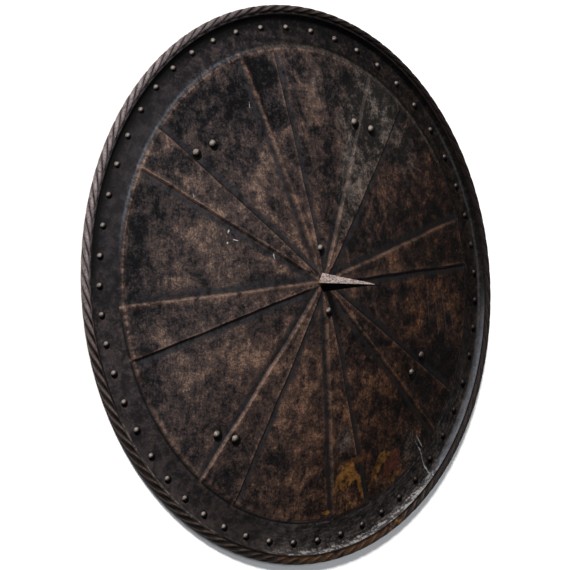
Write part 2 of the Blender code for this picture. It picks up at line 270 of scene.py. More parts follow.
# The ribs: eight flat-topped wedges embossed from behind, each with two steep sides and sharp arrises,
# and a slight hollow along the foot of each side. The plate's columns are moved on to their edges.
RIBS = (
    (2.5, 13.5), (47.5, 60.0), (94.0, 104.4), (137.5, 148.5),
    (182.7, 195.3), (231.0, 242.3), (276.0, 287.0), (318.0, 329.0),
)
RIB_HEIGHT = 0.0019
RIB_SIDE = 0.0022
RIB_BEAD = 0.0002
RIB_BEAD_WIDTH = 0.0040
RIB_TOP_SAG = 0.0007
RIB_LUMPS = 0.22
HOLLOW_DEPTH = 0.0008
HOLLOW_WIDTH = 0.0105
RIB_FADE = (0.0110, 0.0215)
RIB_WANDER = 0.0011
RIB_EASE_RADIUS = 0.2425
RIB_END_RADIUS = STEP_RADIUS - 0.0015
ARRIS_WIDTH = 0.0015
SETTLING_WIDTH = 0.02
COLUMNS_PER_RIB = PLATE_COLUMNS // len(RIBS)
TOP_COLUMNS = 12
HAMMER_MARKS = ((26.0, 0.00042), (70.0, 0.00014))
HAMMERED_FROM = 0.008
HAMMERED_TO = FOOT_RADIUS - 0.002


def wander(edge, r):
    """How far a rib's edge strays sideways at a radius, in metres."""
    return RIB_WANDER * noise.noise(Vector((22.0 * r, 7.3 * edge, 0.0)))


def rib_edges(r):
    """Both arrises of each rib at a radius, in radians."""
    return [
        tuple(math.radians(a) + wander(2 * i + k, r) / r for k, a in enumerate(pair))
        for i, pair in enumerate(RIBS)
    ]


def column_angles(r):
    """The angle of each of the plate's columns at a radius, with columns along every arris and foot."""
    edges = rib_edges(r)
    keys, angles = [], []
    for i, (start, end) in enumerate(edges):
        gap_before = start - edges[i - 1][1] + (math.tau if i == 0 else 0.0)
        gap_after = (edges[(i + 1) % len(edges)][0] - end) % math.tau
        wide = end - start
        first = i * COLUMNS_PER_RIB
        offsets = (
            (0, start - min(HOLLOW_WIDTH / r, 0.30 * gap_before)),
            (3, start - min(RIB_SIDE / r, 0.12 * gap_before)),
            (5, start),
            (6, start + min(RIB_BEAD_WIDTH / 2 / r, 0.16 * wide)),
            (6 + TOP_COLUMNS, end - min(RIB_BEAD_WIDTH / 2 / r, 0.16 * wide)),
            (7 + TOP_COLUMNS, end),
            (9 + TOP_COLUMNS, end + min(RIB_SIDE / r, 0.12 * gap_after)),
            (12 + TOP_COLUMNS, end + min(HOLLOW_WIDTH / r, 0.30 * gap_after)),
        )
        keys += [first + k for k, _ in offsets]
        angles += [a for _, a in offsets]
    keys.append(PLATE_COLUMNS)
    angles.append(angles[0] + math.tau)
    return np.interp(np.arange(PLATE_COLUMNS), keys, angles)


def rib_profile(r, turns):
    """Height over the smooth field, nearness to an arris, to a rib's foot and to the hollow beside it.

    The edge of a rib that faces away from the lower left gets a full black line at its foot, painted shade
    for its shadow, and less worn metal; the other edge gets only a faint foot line.
    """
    raised = np.zeros_like(turns)
    arris = np.zeros_like(turns)
    foot_dirt_and_shade = np.zeros_like(turns)
    beside = np.zeros_like(turns)
    fade = np.clip((r - RIB_FADE[0]) / (RIB_FADE[1] - RIB_FADE[0]), 0.0, 1.0)
    for i, (start, end) in enumerate(rib_edges(r)):
        middle = (start + end) / 2
        half = (end - start) / 2
        off = (turns - middle + math.pi) % math.tau - math.pi
        past = (np.abs(off) - half) * r
        inside = past <= 0
        bead = np.exp(-((past / RIB_BEAD_WIDTH) ** 2))
        lumps = 1 + RIB_LUMPS * noise.noise(Vector((48.0 * r, 3.1 * i, 1.5)))
        top = RIB_HEIGHT * lumps - RIB_TOP_SAG * (1 - bead) + RIB_BEAD * bead
        side = np.clip(1 - past / RIB_SIDE, 0.0, 1.0)
        foot = np.clip((past - RIB_SIDE) / HOLLOW_WIDTH, 0.0, 1.0)
        dip = -HOLLOW_DEPTH * (1 - foot) ** 2
        shape = np.where(inside, top, top * side + dip * (1 - side))
        raised = np.where(inside | (past < RIB_SIDE + HOLLOW_WIDTH), shape, raised)
        # the edge away from the light gets a full foot line of painted shade and a weaker arris; the lit edge
        # gets a faint foot line
        away = (off > 0) == (i >= 4)
        arris = np.maximum(arris, np.exp(-((past / ARRIS_WIDTH) ** 2)) * np.where(away, 0.55, 1.0))
        at_foot = np.clip(1 - np.abs(past - RIB_SIDE) / RIB_SIDE, 0.0, 1.0)
        foot_dirt_and_shade = np.maximum(foot_dirt_and_shade, at_foot * np.where(away, 1.0, 0.2))
        near_foot = np.clip(1.15 - past / HOLLOW_WIDTH, 0.0, 1.0)
        beside = np.maximum(beside, np.where(past > 0.0006, near_foot, 0.0))
    return raised * fade, arris, foot_dirt_and_shade, beside


def hammered(x, y):
    """The unevenness that hammering leaves in the sheet."""
    return sum(deep * noise.noise(Vector((x * often, y * often, 3.7))) for often, deep in HAMMER_MARKS)


found = places(plate)
radius = np.hypot(found[:, 0], found[:, 1])
turn = np.arctan2(found[:, 1], found[:, 0]) % math.tau
column = np.rint(turn / math.tau * PLATE_COLUMNS).astype(int) % PLATE_COLUMNS
rings = np.array(sorted({r for r, _ in [*face_section(), *back_section()]}))
ring = np.abs(radius[:, None] - rings[None, :]).argmin(axis=1)
side = marks(plate, "face")
arris = np.zeros(len(found))
foot_dirt_and_shade = np.zeros(len(found))
beside = np.zeros(len(found))
even = np.arange(PLATE_COLUMNS) * math.tau / PLATE_COLUMNS
for i, r in enumerate(rings):
    row = ring == i
    settled = min(max((STEP_RADIUS + SETTLING_WIDTH - r) / SETTLING_WIDTH, 0.0), 1.0)
    ribbed = column_angles(min(r, STEP_RADIUS))
    turns = (ribbed * settled + (even + ribbed[0]) * (1 - settled))[column[row]]
    found[row, 0] = r * np.cos(turns)
    found[row, 1] = r * np.sin(turns)
    if r < STEP_RADIUS - 0.0001:
        raised, near, at_foot, hollow = rib_profile(r, turns)
        ease = min(1.0, max(0.0, (RIB_END_RADIUS - r) / (RIB_END_RADIUS - RIB_EASE_RADIUS)))
        found[row, 2] += raised * ease
        arris[row] = near
        foot_dirt_and_shade[row] = at_foot
        beside[row] = hollow
waves = np.clip((HAMMERED_TO - radius) / 0.02, 0.0, 1.0) * np.clip((radius - HAMMERED_FROM) / 0.015, 0.0, 1.0)
for i in np.nonzero(waves > 0)[0]:
    found[i, 2] += waves[i] * hammered(found[i, 0], found[i, 1])
put(plate, found)
mark(plate, "arris", arris * side)
mark(plate, "foot", foot_dirt_and_shade * side)
mark(plate, "beside", beside * side)

# The roped rim: the sheet's edge is rolled into a tight bead and filed with slanting cuts, like a rope.
# It has 104 strands, and each cut runs inward across the bead as it goes round.
ROPE_DIAMETER = 0.0094
ROPE_RADIUS = ROPE_DIAMETER / 2
ROPE_FLATNESS = 0.88
ROPE_CIRCLE = SHIELD_RADIUS - ROPE_RADIUS * ROPE_FLATNESS
STRANDS = 104
STRAND_COLUMNS = 8
STRAND_DEPTH = 0.0011
STRAND_RUN = 0.064
STRAND_SHARPNESS = 5.0
ROPE_ARC = (152, -142)
ROPE_ROWS = 21
STRAND_STOPS = (0.0, 0.07, 0.20, 0.36, 0.52, 0.68, 0.83, 0.94)


def rope_section():
    start, end = ROPE_ARC
    arcs = [math.radians(start + (end - start) * i / (ROPE_ROWS - 1)) for i in range(ROPE_ROWS)]
    return [(ROPE_CIRCLE + ROPE_RADIUS * math.cos(a), BEAD_HEIGHT + ROPE_RADIUS * math.sin(a)) for a in arcs]


rope = turned("roped_rim", rope_section(), STRANDS * STRAND_COLUMNS)
mark(rope, "face", np.ones(len(rope.data.vertices)))
found = places(rope)
radius = np.hypot(found[:, 0], found[:, 1])
turn = np.arctan2(found[:, 1], found[:, 0]) % math.tau
column = np.rint(turn / math.tau * STRANDS * STRAND_COLUMNS).astype(int)
arc = np.arctan2(found[:, 2] - BEAD_HEIGHT, radius - ROPE_CIRCLE)
share = np.array(STRAND_STOPS)[column % STRAND_COLUMNS]
strand = column // STRAND_COLUMNS
lean = STRAND_RUN / ROPE_CIRCLE * arc / math.tau
turn = (strand + 0.5 + share) * math.tau / STRANDS + lean
bulge = np.abs(2 * share - 1)
uneven = np.array([noise.noise(Vector((1.7 * s, 0.0, 0.0))) for s in range(STRANDS + 1)])[strand]
depth = STRAND_DEPTH * bulge**STRAND_SHARPNESS * (1 + 0.6 * uneven)
held = np.clip((np.degrees(np.abs(arc)) - 118) / 20, 0.0, 1.0)
reach = ROPE_RADIUS - depth * (1 - held) - 0.0008 * held
ring_radius = ROPE_CIRCLE + reach * np.cos(arc) * ROPE_FLATNESS
found[:, 0] = ring_radius * np.cos(turn)
found[:, 1] = ring_radius * np.sin(turn)
found[:, 2] = BEAD_HEIGHT + reach * np.sin(arc)
put(rope, found)
mark(rope, "crest", 1 - bulge)

bpy.ops.object.select_all(action="DESELECT")
rope.select_set(True)
plate.select_set(True)
bpy.context.view_layer.objects.active = plate
plate_iron = bpy.data.materials.new("plate_iron")
roped_iron = bpy.data.materials.new("roped_iron")
plate.data.materials.append(plate_iron)
rope.data.materials.append(roped_iron)
bpy.ops.object.join()
bpy.ops.object.mode_set(mode="EDIT")
bpy.ops.mesh.select_mode(type="EDGE")


def select_open_edges(low, high, height):
    """Select the open edges between two radii and, where a pair is given, between two heights."""
    bpy.ops.mesh.select_all(action="DESELECT")
    bpy.ops.mesh.select_non_manifold()
    bpy.ops.object.mode_set(mode="OBJECT")
    for edge in plate.data.edges:
        if edge.select:
            a, b = (plate.data.vertices[v].co for v in edge.vertices)
            r = math.hypot(a.x, a.y)
            fits = low < r < high and (height is None or height[0] < a.z < height[1])
            edge.select = fits
            if not fits:
                for v in edge.vertices:
                    plate.data.vertices[v].select = False
    for edge in plate.data.edges:
        if edge.select:
            for v in edge.vertices:
                plate.data.vertices[v].select = True
    bpy.ops.object.mode_set(mode="EDIT")


for band in ((0.0030, 0.0040, None), (0.2780, 0.2830, (0.0055, 0.0100)), (0.2780, 0.2840, (-0.001, 0.0050))):
    select_open_edges(*band)
    bpy.ops.mesh.bridge_edge_loops()
face_out(plate)
bpy.ops.object.shade_smooth_by_angle(angle=math.radians(38))


def colour(code):
    """A colour written as six hexadecimal digits, as the shader's linear red, green and blue."""
    parts = [int(code[i:i + 2], 16) / 255 for i in (0, 2, 4)]
    return (*[p / 12.92 if p <= 0.04045 else ((p + 0.055) / 1.055) ** 2.4 for p in parts], 1.0)


def link(tree, socket, value):
    """Feed a socket with another socket, or set it to a plain value or to a colour's six digits."""
    if isinstance(value, bpy.types.NodeSocket):
        tree.links.new(value, socket)
    else:
        socket.default_value = colour(value) if isinstance(value, str) else value


def maths(tree, operation, *inputs):
    made = tree.nodes.new("ShaderNodeMath")
    made.operation = operation
    for socket, value in zip(made.inputs, inputs):
        link(tree, socket, value)
    return made.outputs[0]


def times(tree, one, other):
    return maths(tree, "MULTIPLY", one, other)


def plus(tree, value, by, base):
    """A value times a number, added to a base."""
    return maths(tree, "MULTIPLY_ADD", value, by, base)


def centred(tree, value):
    """Noise moved to lie round zero."""
    return maths(tree, "SUBTRACT", value, 0.5)


def blend(tree, share, under, over, how="MIX"):
    """Lay one colour over another by a share from 0 to 1."""
    made = tree.nodes.new("ShaderNodeMix")
    made.data_type = "RGBA"
    made.blend_type = how
    link(tree, made.inputs[0], share)
    link(tree, made.inputs[6], under)
    link(tree, made.inputs[7], over)
    return made.outputs[2]


def clouds(tree, at, per_metre, detail, roughness, warp=0.0):
    """Cloudy noise with a number of patches to the metre."""
    made = tree.nodes.new("ShaderNodeTexNoise")
    link(tree, made.inputs["Vector"], at)
    made.inputs["Scale"].default_value = per_metre
    made.inputs["Detail"].default_value = detail
    made.inputs["Roughness"].default_value = roughness
    made.inputs["Distortion"].default_value = warp
    return made.outputs["Fac"]


def stretched(tree, at, scale, turn):
    made = tree.nodes.new("ShaderNodeMapping")
    link(tree, made.inputs["Vector"], at)
    made.inputs["Rotation"].default_value = (0, 0, math.radians(turn))
    made.inputs["Scale"].default_value = scale
    return made.outputs["Vector"]


def rising(tree, value, low, high, start=0.0, end=1.0):
    """A value that goes from start to end as another goes from low to high, and stays there."""
    made = tree.nodes.new("ShaderNodeMapRange")
    made.interpolation_type = "SMOOTHSTEP"
    names = ("Value", "From Min", "From Max", "To Min", "To Max")
    for name, given in zip(names, (value, low, high, start, end)):
        link(tree, made.inputs[name], given)
    return made.outputs["Result"]


def marked(tree, name):
    made = tree.nodes.new("ShaderNodeAttribute")
    made.attribute_name = name
    return made.outputs["Fac"]


def parted(tree, vector):
    made = tree.nodes.new("ShaderNodeSeparateXYZ")
    link(tree, made.inputs[0], vector)
    return made.outputs


def joined(tree, x, y):
    made = tree.nodes.new("ShaderNodeCombineXYZ")
    link(tree, made.inputs[0], x)
    link(tree, made.inputs[1], y)
    return made.outputs[0]


def ramped(tree, value, stops):
    """A colour that runs through the given stops as a value rises."""
    made = tree.nodes.new("ShaderNodeValToRGB")
    link(tree, made.inputs["Fac"], value)
    band = made.color_ramp.elements
    band[0].position, band[0].color = stops[0][0], colour(stops[0][1])
    band[1].position, band[1].color = stops[-1][0], colour(stops[-1][1])
    for place, code in stops[1:-1]:
        band.new(place).color = colour(code)
    return made.outputs["Color"]


def dressed(tree, made, ground, metallic, roughness, gloss, height, depth):
    """Give a shader its colour, its metal, roughness and gloss, and a fine relief of a depth in metres."""
    relief = tree.nodes.new("ShaderNodeBump")
    relief.inputs["Strength"].default_value = 1.0
    relief.inputs["Distance"].default_value = depth
    link(tree, relief.inputs["Height"], height)
    link(tree, made.inputs["Base Color"], ground)
    link(tree, made.inputs["Metallic"], metallic)
    link(tree, made.inputs["Roughness"], roughness)
    link(tree, made.inputs["Specular IOR Level"], gloss)
    link(tree, made.inputs["Normal"], relief.outputs["Normal"])


def shader(material):
    material.use_nodes = True
    tree = material.node_tree
    made = tree.nodes["Principled BSDF"]
    at = tree.nodes.new("ShaderNodeTexCoord").outputs["Object"]
    return tree, made, at


def smear(tree, at, ragged, x, y, turn, long, wide, amount):
    """An oval smear with a ragged edge, its middle and half-lengths in shares of the shield's radius."""
    made = tree.nodes.new("ShaderNodeMapping")
    made.vector_type = "TEXTURE"
    link(tree, made.inputs["Vector"], at)
    made.inputs["Location"].default_value = (x * SHIELD_RADIUS, y * SHIELD_RADIUS, 0)
    made.inputs["Rotation"].default_value = (0, 0, math.radians(turn))
    made.inputs["Scale"].default_value = (long * SHIELD_RADIUS, wide * SHIELD_RADIUS, 1)
    length = tree.nodes.new("ShaderNodeVectorMath")
    length.operation = "LENGTH"
    link(tree, length.inputs[0], made.outputs[0])
    near = maths(tree, "SUBTRACT", 1.0, length.outputs["Value"])
    return rising(tree, maths(tree, "ADD", near, ragged), 0.0, 0.22, 0.0, amount)


def smears(tree, at, ragged, given):
    total = 0.0
    for one in given:
        total = maths(tree, "MAXIMUM", smear(tree, at, ragged, *one), total)
    return total


# The iron's colours from where its paint is whole to where it is bare, on its cool and its warm side.
COOL_IRON = (
    (0.0, "060507"), (0.20, "111012"), (0.36, "252122"), (0.52, "342c2b"), (0.68, "443935"),
    (0.84, "5a4a42"), (1.0, "735f54"),
)
WARM_IRON = (
    (0.0, "030201"), (0.20, "0a0605"), (0.36, "190f0b"), (0.52, "291a12"), (0.68, "3e281a"),
    (0.84, "533626"), (1.0, "6e4c36"),
)

# Remains of ochre paint and of a reddish one, and pale scratches: middle, turn, half-lengths, amount.
OCHRE_SMEARS = (
    (0.150, -0.690, 20, 0.062, 0.038, 0.80), (0.120, -0.725, -35, 0.036, 0.020, 0.7),
    (0.092, -0.750, 84, 0.046, 0.011, 0.75), (0.215, -0.735, 112, 0.058, 0.011, 0.7),
    (0.300, -0.690, 55, 0.055, 0.022, 0.60), (0.335, -0.650, 30, 0.052, 0.022, 0.5),
    (0.275, -0.735, 80, 0.030, 0.011, 0.45), (0.049, -0.822, 4, 0.024, 0.008, 0.9),
    (0.162, -0.806, 40, 0.016, 0.010, 0.7), (0.400, -0.720, 40, 0.034, 0.016, 0.35),
    (0.165, -0.652, 10, 0.075, 0.016, 0.22),
)
RED_SMEARS = ((0.390, -0.668, 40, 0.060, 0.036, 0.40), (0.230, -0.640, 0, 0.060, 0.020, 0.20))
PALE_SCRATCHES = (
    (0.577, -0.664, 311, 0.085, 0.0030, 0.42), (0.545, -0.600, 308, 0.030, 0.0030, 0.28),
    (0.610, -0.700, 316, 0.020, 0.0034, 0.6), (-0.388, 0.200, 60, 0.008, 0.0030, 0.9),
    (-0.398, 0.160, 10, 0.005, 0.0034, 0.9), (-0.362, 0.168, 165, 0.012, 0.0022, 0.8),
    (-0.205, 0.105, 100, 0.010, 0.0024, 0.7), (-0.210, 0.640, 85, 0.012, 0.0022, 0.5),
    (0.300, 0.560, 20, 0.012, 0.0030, 0.5), (-0.520, 0.330, 100, 0.010, 0.0022, 0.4),
    (0.605, -0.110, 92, 0.090, 0.0042, 0.025), (0.655, -0.130, 94, 0.110, 0.0042, 0.035),
    (0.705, -0.150, 97, 0.110, 0.0042, 0.03), (0.750, -0.170, 99, 0.080, 0.0042, 0.02),
)


def blackened_iron(material):
    """Old black paint and patina over warm brown iron, rubbed through on every raised part."""
    tree, made, at = shader(material)
    patch = clouds(tree, at, 42.0, 7.0, 0.70, 0.35)
    blot = clouds(tree, at, 95.0, 6.0, 0.72, 0.2)
    speck = clouds(tree, at, 330.0, 5.0, 0.78)
    fleck = clouds(tree, at, 620.0, 2.0, 0.6)
    grain = clouds(tree, at, 1100.0, 3.0, 0.7)
    strokes = clouds(tree, stretched(tree, at, (520.0, 60.0, 60.0), 8), 1.0, 4.0, 0.6)
    warm = marked(tree, "warm")
    grey = marked(tree, "grey")
    off_patch = centred(tree, patch)
    off_blot = centred(tree, blot)
    off_speck = centred(tree, speck)

    # how far the paint has gone: broad places by hand, then patches, blots and specks within them
    bare = plus(tree, off_patch, 1.9, marked(tree, "worn"))
    bare = plus(tree, off_blot, 1.25, bare)
    bare = plus(tree, off_speck, 1.3, bare)
    bare = plus(tree, centred(tree, fleck), 0.7, bare)
    bare = plus(tree, centred(tree, strokes), 0.4, bare)
    ground = blend(tree, warm, ramped(tree, bare, COOL_IRON), ramped(tree, bare, WARM_IRON))
    scoured = blend(tree, rising(tree, bare, 0.15, 0.85), "1b1918", "6a625c")
    ground = blend(tree, times(tree, grey, 0.9), ground, scoured)

    # the border and the upturned wall keep more of their paint, over grey-brown iron
    paint = blend(tree, warm, "0d0c0f", "080707")
    border = blend(tree, rising(tree, blot, 0.40, 0.62), paint, blend(tree, warm, "1e1c20", "161311"))
    faded = times(tree, marked(tree, "faded"), rising(tree, blot, 0.36, 0.60, 0.30, 1.0))
    border = blend(tree, faded, border, "3f3838")
    rubbed = times(tree, rising(tree, plus(tree, off_blot, 0.6, speck), 0.50, 0.64), marked(tree, "rubbed"))
    border = blend(tree, rubbed, border, blend(tree, warm, "4c3f39", "3a2b22"))
    x, y, _ = parted(tree, at)
    round_rim = times(tree, maths(tree, "ARCTAN2", y, x), SHIELD_RADIUS * 70)
    out = maths(tree, "SQRT", plus(tree, x, x, times(tree, y, y)))
    streak = clouds(tree, joined(tree, round_rim, times(tree, out, 420.0)), 1.0, 5.0, 0.7)
    off_streak = centred(tree, streak)
    scraped = plus(tree, off_streak, 1.6, plus(tree, off_blot, 0.8, speck))
    scuffed = times(tree, rising(tree, scraped, 0.48, 0.68), marked(tree, "scuffed"))
    border = blend(tree, scuffed, border, "8f8c88")
    # painted highlight: a pale blue-grey band on the wall's inner face at the lower right, where the lamp's
    # reflection falls
    painted_sheen = times(tree, marked(tree, "painted_sheen"), rising(tree, streak, 0.30, 0.62, 0.45, 1.0))
    border = blend(tree, painted_sheen, border, "555961")
    # painted shade: the border is black along the wall's foot at the upper left, where the rim's shadow
    # falls, and just inside the rope; it is also darker next to the wall at the right
    border = blend(tree, marked(tree, "corner"), border, "080707")
    ground = blend(tree, marked(tree, "border"), ground, border)

    # sheltered hollows stay blue-black, black lines of painted shade run along the foot of the ribs' shaded
    # sides and below the step, and arrises are rubbed down to brown and pale iron
    hollow = plus(tree, off_blot, 1.1, marked(tree, "beside"))
    hollow = times(tree, rising(tree, hollow, 0.10, 0.62, 0.0, 0.9), plus(tree, grey, -0.8, 1.0))
    slate = blend(tree, warm, "2a2a2e", "131111")
    ground = blend(tree, hollow, ground, blend(tree, rising(tree, blot, 0.38, 0.60), "141315", slate))
    # painted shade: black lines at the foot of the ribs' shaded sides and below the step, faint at the foot
    # of the lit sides
    ground = blend(tree, times(tree, marked(tree, "foot"), 0.92), ground, "060505")
    edge = rising(tree, plus(tree, off_patch, 0.8, blot), 0.38, 0.60, 0.18, 0.95)
    edge = times(tree, marked(tree, "arris"), edge)
    edge = times(tree, edge, rising(tree, speck, 0.38, 0.56, 0.4, 0.95))
    dents = rising(tree, clouds(tree, joined(tree, round_rim, 0.0), 1.6, 1.0, 0.5), 0.42, 0.54, 0.15, 1.0)
    from_step = maths(tree, "ABSOLUTE", maths(tree, "SUBTRACT", out, FIELD_RADIUS))
    on_step = rising(tree, from_step, 0.0015, 0.0040, 1.0, 0.0)
    edge = times(tree, edge, plus(tree, maths(tree, "SUBTRACT", dents, 1.0), on_step, 1.0))
    edge = times(tree, edge, plus(tree, grey, -0.8, 1.0))
    ground = blend(tree, edge, ground, blend(tree, warm, "82695c", "5a4132"))
    # painted highlight: a pale line along the step's face on the lamp's side; also a thin light line at the
    # wall's foot
    steel = rising(tree, plus(tree, off_blot, 0.5, speck), 0.36, 0.60, 0.25, 1.0)
    steel = times(tree, marked(tree, "steel"), steel)
    ground = blend(tree, steel, ground, blend(tree, marked(tree, "cold"), "6a625a", "63656c"))

    ragged = plus(tree, off_speck, 1.6, times(tree, off_blot, 2.2))
    red = smears(tree, at, plus(tree, off_patch, 2.0, ragged), RED_SMEARS)
    on_face = marked(tree, "face")
    ground = blend(tree, times(tree, red, on_face), ground, "462217")
    ochre = times(tree, smears(tree, at, ragged, OCHRE_SMEARS), on_face)
    ground = blend(tree, ochre, ground, blend(tree, rising(tree, blot, 0.38, 0.60), "35210f", "6d4a20"))
    # the wall's inner face: black at the upper left as painted shade, where it stands in its own shadow, and
    # darker at the right
    ground = blend(tree, marked(tree, "darkened_wall"), ground, "070606")
    pale = smears(tree, at, times(tree, off_speck, 3.0), PALE_SCRATCHES)
    ground = blend(tree, times(tree, pale, on_face), ground, "a5a5a6")
    # dirt in the groove at the rope's foot, and black painted shade along the rope's inner crest at the upper
    # left
    ground = blend(tree, marked(tree, "grime_and_shade"), ground, "060505")
    pits = rising(tree, grain, 0.36, 0.50, 0.35, 1.0)
    ground = blend(tree, 1.0, ground, greyed(tree, pits), "MULTIPLY")
    shine = maths(tree, "MAXIMUM", times(tree, edge, 0.30), times(tree, steel, 0.35))
    rough = rising(tree, speck, 0.3, 0.7, 0.48, 0.66)
    height = plus(tree, speck, 0.35, times(tree, grain, 0.16))
    height = plus(tree, blot, 0.38, height)
    dressed(tree, made, ground, shine, rough, 0.09, height, 0.0011)


def greyed(tree, value):
    """A value as a grey."""
    made = tree.nodes.new("ShaderNodeCombineColor")
    for socket in made.inputs[:3]:
        link(tree, socket, value)
    return made.outputs[0]


def rope_iron(material):
    """Brown iron with dark dirt in the cuts, rubbed light on the strands' backs, lighter on the side towards
    the lamp as a painted highlight, and black painted shade along the inner crest at the upper left.
    """
    tree, made, at = shader(material)
    patch = clouds(tree, at, 60.0, 5.0, 0.65)
    speck = clouds(tree, at, 520.0, 4.0, 0.75)
    crest = marked(tree, "crest")
    lit_rope_side = marked(tree, "lit_rope_side")
    dull = marked(tree, "dull")
    blotch = clouds(tree, at, 170.0, 4.0, 0.7)
    narrow = plus(tree, lit_rope_side, -0.70, 0.62)
    ridge = plus(tree, centred(tree, blotch), 0.9, crest)
    rubbed = times(tree, rising(tree, ridge, narrow, 0.95), rising(tree, speck, 0.36, 0.60, 0.35, 1.0))
    uneven = plus(tree, centred(tree, blotch), 0.7, crest)
    cut = rising(tree, plus(tree, marked(tree, "clogged"), -0.24, uneven), 0.0, 0.26)
    # the strands are lighter on the side towards the lamp, a painted highlight
    ground = blend(tree, cut, "0b0909", blend(tree, lit_rope_side, "1a1412", "393233"))
    backs = blend(tree, lit_rope_side, "5f4d43", "7d7274")
    ground = blend(tree, rubbed, ground, blend(tree, dull, backs, "1a1412"))
    ground = blend(tree, rising(tree, blotch, 0.46, 0.62, 0.0, 0.55), ground, "1d1818")
    rusty = times(tree, marked(tree, "rusty"), rising(tree, patch, 0.40, 0.54))
    ground = blend(tree, times(tree, rusty, 0.7), ground, "6e4a26")
    # dirt in the groove at the rope's foot, and black painted shade along the rope's inner crest at the upper
    # left
    ground = blend(tree, marked(tree, "grime_and_shade"), ground, "060505")
    lip = times(tree, marked(tree, "lip"), rising(tree, blotch, 0.40, 0.58, 0.3, 1.0))
    ground = blend(tree, lip, ground, "69635d")
    shine = times(tree, times(tree, rubbed, lit_rope_side), 0.4)
    dressed(tree, made, ground, shine, rising(tree, patch, 0.3, 0.7, 0.42, 0.60), 0.1, speck, 0.0006)


# Places where the paint has worn off, and where it has stayed, as (x, y, reach, amount) in shares of
# the shield's radius, put where handling, rubbing and rust would leave them.
WORN_PLACES = (
    (-0.17, 0.32, 0.13, 0.42), (-0.20, 0.46, 0.10, 0.20), (0.07, 0.64, 0.09, 0.34),
    (0.39, 0.36, 0.13, 0.14), (0.34, 0.21, 0.12, 0.08), (0.64, 0.40, 0.09, 0.12),
    (-0.46, 0.22, 0.12, 0.18), (-0.62, 0.12, 0.11, 0.26), (-0.38, 0.09, 0.12, 0.30),
    (-0.52, 0.46, 0.11, 0.12), (-0.60, -0.32, 0.15, 0.30), (-0.37, -0.25, 0.15, 0.30),
    (-0.18, -0.27, 0.11, 0.24), (-0.29, -0.44, 0.10, 0.22), (-0.08, -0.40, 0.16, 0.32),
    (-0.18, -0.52, 0.12, 0.20), (0.56, -0.04, 0.12, 0.14), (0.44, -0.25, 0.13, 0.16),
    (0.25, -0.37, 0.10, 0.16), (0.37, -0.50, 0.09, 0.12), (0.67, -0.16, 0.12, 0.14),
    (0.45, 0.10, 0.10, 0.22), (-0.06, 0.60, 0.08, 0.16), (-0.30, 0.60, 0.12, 0.14),
    (0.20, 0.38, 0.12, 0.10), (-0.14, 0.12, 0.10, 0.14), (0.02, -0.60, 0.10, 0.10),
    (-0.72, -0.16, 0.08, 0.10), (0.13, 0.07, 0.10, 0.26), (0.12, -0.08, 0.10, 0.24),
    (-0.08, 0.16, 0.09, 0.14), (0.16, -0.52, 0.09, 0.16),
)
KEPT_PLACES = (
    (-0.42, 0.62, 0.14, 0.34), (-0.16, 0.73, 0.10, 0.60), (-0.11, 0.58, 0.05, 0.40),
    (0.30, -0.68, 0.18, 0.26), (0.55, -0.52, 0.16, 0.26), (0.78, 0.10, 0.12, 0.22),
    (0.72, 0.30, 0.12, 0.16), (0.52, 0.62, 0.14, 0.22), (0.05, -0.74, 0.14, 0.10),
    (-0.25, -0.72, 0.14, 0.16), (0.16, 0.22, 0.09, 0.14), (0.74, -0.34, 0.14, 0.20),
    (0.22, -0.18, 0.08, 0.14), (0.28, -0.06, 0.10, 0.12), (-0.74, 0.28, 0.14, 0.26),
    (-0.80, -0.02, 0.12, 0.26), (-0.78, -0.24, 0.10, 0.16), (0.38, 0.66, 0.12, 0.16),
    (-0.02, 0.40, 0.06, 0.12), (0.12, -0.40, 0.05, 0.14), (0.57, 0.16, 0.12, 0.20),
    (0.62, -0.26, 0.12, 0.18), (0.34, 0.50, 0.10, 0.14), (-0.26, 0.66, 0.08, 0.16),
)
GREY_PLACES = (
    (0.36, 0.62, 0.09, 0.80), (0.28, 0.56, 0.06, 0.70), (0.44, 0.72, 0.07, 0.60),
    (0.44, 0.56, 0.07, 0.35), (0.24, 0.44, 0.05, 0.35), (0.13, -0.57, 0.035, 0.60),
    (0.50, -0.62, 0.05, 0.55), (0.18, 0.32, 0.04, 0.30), (0.53, 0.50, 0.07, 0.45),
    (0.57, 0.42, 0.05, 0.30), (0.15, 0.70, 0.07, 0.25),
)
# A number of hundredths of the shield's radius beyond its rim, and where the rope's crest begins.
BEYOND_RIM = 200
ROPE_FOOT_RADIUS = 0.2812
CREST_BASE = 0.0068


def placed(x, y, given):
    """Sum of soft-edged places at each point."""
    total = np.zeros_like(x)
    for px, py, reach, amount in given:
        off = np.hypot(x / SHIELD_RADIUS - px, y / SHIELD_RADIUS - py) / reach
        total += amount * np.exp(-(off**2))
    return total


def between(turns, start, end, soft):
    """1 between two angles in degrees, easing to 0 over a soft width outside them."""
    middle, half = (start + end) / 2, (end - start) / 2
    off = np.abs((turns - middle + 180) % 360 - 180) - half
    return np.clip(1 - off / soft, 0.0, 1.0)


def sectors(*given):
    """Sum of soft-ended sectors round the plate: each from and to an angle, its softness and amount."""
    return sum(amount * between(turn, start, end, soft) for start, end, soft, amount in given)


def hoop(start, end, soft):
    """1 between two hundredths of the shield's radius, easing to 0 over a soft width outside them."""
    return between(share * 100, start, end, soft)


def thin_ring(r, half_width, over=1.0):
    """1 on a circle of the plate, easing to 0 on both sides of it."""
    return np.clip(over - np.abs(radius - r) / half_width, 0.0, 1.0)


found = places(plate)
x, y, z = found[:, 0], found[:, 1], found[:, 2]
radius = np.hypot(x, y)
share = radius / SHIELD_RADIUS
turn = np.degrees(np.arctan2(y, x)) % 360
face = marks(plate, "face")

